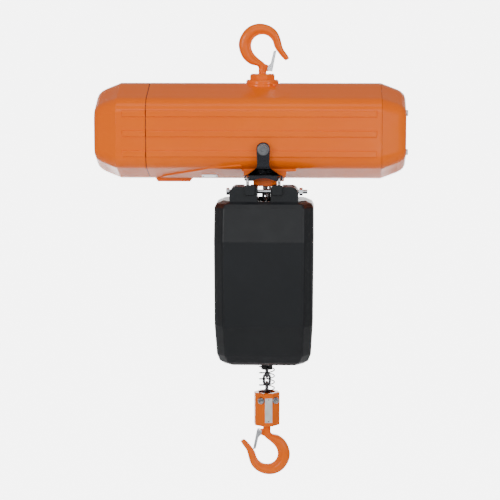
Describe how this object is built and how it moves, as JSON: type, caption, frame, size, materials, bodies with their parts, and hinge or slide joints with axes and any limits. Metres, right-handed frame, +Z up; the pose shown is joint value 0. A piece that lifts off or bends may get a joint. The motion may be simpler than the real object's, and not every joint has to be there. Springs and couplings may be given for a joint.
{
  "type": "electric chain hoist",
  "caption": "Small electric chain hoist: six-sided orange housing hung from a swivel hook, with a hanging chain container and a load hook on a round-link chain.",
  "frame": {"origin": "seat of the suspension hook, on the hook's swivel axis", "axes": "+Z up, +X along the body towards the gear end, -Y the front, where the chain container hangs"},
  "size_m": [0.4584, 0.2136, 0.6807],
  "materials": {
    "orange_paint": "gloss",
    "seal_rubber": "matt",
    "black_steel": "satin",
    "zinc_steel": "satin",
    "chain_steel": "satin",
    "spring_steel": "satin",
    "cast_aluminium": "cast",
    "machined_steel": "machined",
    "laminated_steel": "matt",
    "copper_winding": "gloss",
    "cast_iron": "matt",
    "grey_plastic": "matt",
    "green_board": "gloss",
    "label_metal": "satin",
    "black_plastic": "satin",
    "guide_rubber": "matt"
  },
  "bodies": {
    "housing": {"main_housing": "orange_paint", "electric_cover": "orange_paint", "electric_cover_seal": "seal_rubber", "gear_cover": "orange_paint", "cover_screws": "zinc_steel", "electrics_plate": "cast_aluminium", "motor_rear_shield": "cast_aluminium", "motor_bulkhead": "cast_aluminium", "gear_bulkhead": "cast_aluminium", "gear_end_plate": "cast_aluminium", "shaft_bearings": "machined_steel", "motor_stator": "laminated_steel", "stator_windings": "copper_winding", "brake_magnet": "cast_iron", "suspension_flange": "orange_paint", "suspension_nut": "orange_paint", "suspension_bearing": "machined_steel", "contactors": "grey_plastic", "transformer": "laminated_steel", "terminal_block": "grey_plastic", "control_board": "green_board", "wheel_chain": "chain_steel", "chain_guide": "orange_paint", "chain_guide_screws": "zinc_steel", "cable_entry_plate": "orange_paint", "nameplate": "label_metal", "container_hanger": "black_steel", "hanger_bolt": "zinc_steel", "container_shackles": "zinc_steel"},
    "rotor": {"rotor_core": "laminated_steel", "motor_shaft": "machined_steel", "motor_pinion": "machined_steel", "brake_disc": "cast_iron"},
    "intermediate_gearset": {"intermediate_shaft": "machined_steel", "intermediate_gear": "machined_steel", "intermediate_pinion": "machined_steel"},
    "load_wheel_set": {"load_wheel": "machined_steel", "wheel_shaft": "machined_steel", "output_gear": "machined_steel"},
    "armature": {"brake_armature": "machined_steel"},
    "top_hook": {"suspension_hook": "orange_paint", "suspension_hook_nut": "zinc_steel"},
    "top_latch": {"suspension_latch": "zinc_steel"},
    "hook_block": {"block_front_half": "orange_paint", "block_rear_half": "orange_paint", "block_fasteners": "zinc_steel", "block_label": "label_metal", "chain_pin": "zinc_steel", "load_chain": "chain_steel", "upper_load_chain": "chain_steel", "buffer_spring": "spring_steel", "spring_guide": "guide_rubber", "hook_bearing": "machined_steel"},
    "bottom_hook": {"load_hook": "orange_paint", "load_hook_nut": "zinc_steel"},
    "bottom_latch": {"load_latch": "zinc_steel"},
    "container": {"container_front": "black_plastic", "container_rear": "black_plastic", "container_rod": "zinc_steel", "stored_chain": "chain_steel"}
  },
  "joints": [
    {"name": "motor_spin", "type": "hinge", "parent": "housing", "child": "rotor", "pos_m": [0, 0.022, -0.142], "axis": [1, 0, 0], "range_deg": [-2000, 1600]},
    {"name": "intermediate_spin", "type": "hinge", "parent": "housing", "child": "intermediate_gearset", "pos_m": [0.1, 0.00843, -0.11083], "axis": [1, 0, 0], "range_deg": [-453.06, 566.32]},
    {"name": "load_wheel_spin", "type": "hinge", "parent": "housing", "child": "load_wheel_set", "pos_m": [0.007, -0.01953, -0.142], "axis": [1, 0, 0], "range_deg": [-177.67, 142.13], "deforming": ["wheel_chain"]},
    {"name": "hook_lift", "type": "slide", "parent": "housing", "child": "hook_block", "axis": [0, 0, 1], "range_m": [-0.05922, 0.04738], "deforming": ["upper_load_chain", "buffer_spring"]},
    {"name": "brake_release", "type": "slide", "parent": "housing", "child": "armature", "axis": [-1, 0, 0], "range_m": [0, 0.0005], "stiffness_N_per_m": 2000, "springref_m": -0.0005},
    {"name": "suspension_swivel", "type": "hinge", "parent": "housing", "child": "top_hook", "pos_m": [0, 0, 0], "axis": [0, 0, 1], "continuous": true},
    {"name": "suspension_latch_pivot", "type": "hinge", "parent": "top_hook", "child": "top_latch", "pos_m": [0.0102, 0, -0.0502], "axis": [0, -1, 0], "range_deg": [0, 35], "stiffness_Nm_per_rad": 0.05, "springref_deg": -17.19},
    {"name": "load_hook_swivel", "type": "hinge", "parent": "hook_block", "child": "bottom_hook", "pos_m": [0.007, 0, -0.6], "axis": [0, 0, 1], "continuous": true},
    {"name": "load_latch_pivot", "type": "hinge", "parent": "bottom_hook", "child": "bottom_latch", "pos_m": [-0.0032, 0, -0.5979], "axis": [0, -1, 0], "range_deg": [0, 35], "stiffness_Nm_per_rad": 0.05, "springref_deg": -17.19},
    {"name": "container_swing", "type": "hinge", "parent": "housing", "child": "container", "pos_m": [0.0055, -0.075, -0.226], "axis": [1, 0, 0], "range_deg": [-15, 3.5], "deforming": ["stored_chain"]}
  ],
  "couplings": [
    {"joint": "intermediate_spin", "follows": "motor_spin", "ratio": -0.28302},
    {"joint": "load_wheel_spin", "follows": "motor_spin", "ratio": 0.08879},
    {"joint": "hook_lift", "follows": "motor_spin", "m_per_rad": 0.0016958}
  ]
}
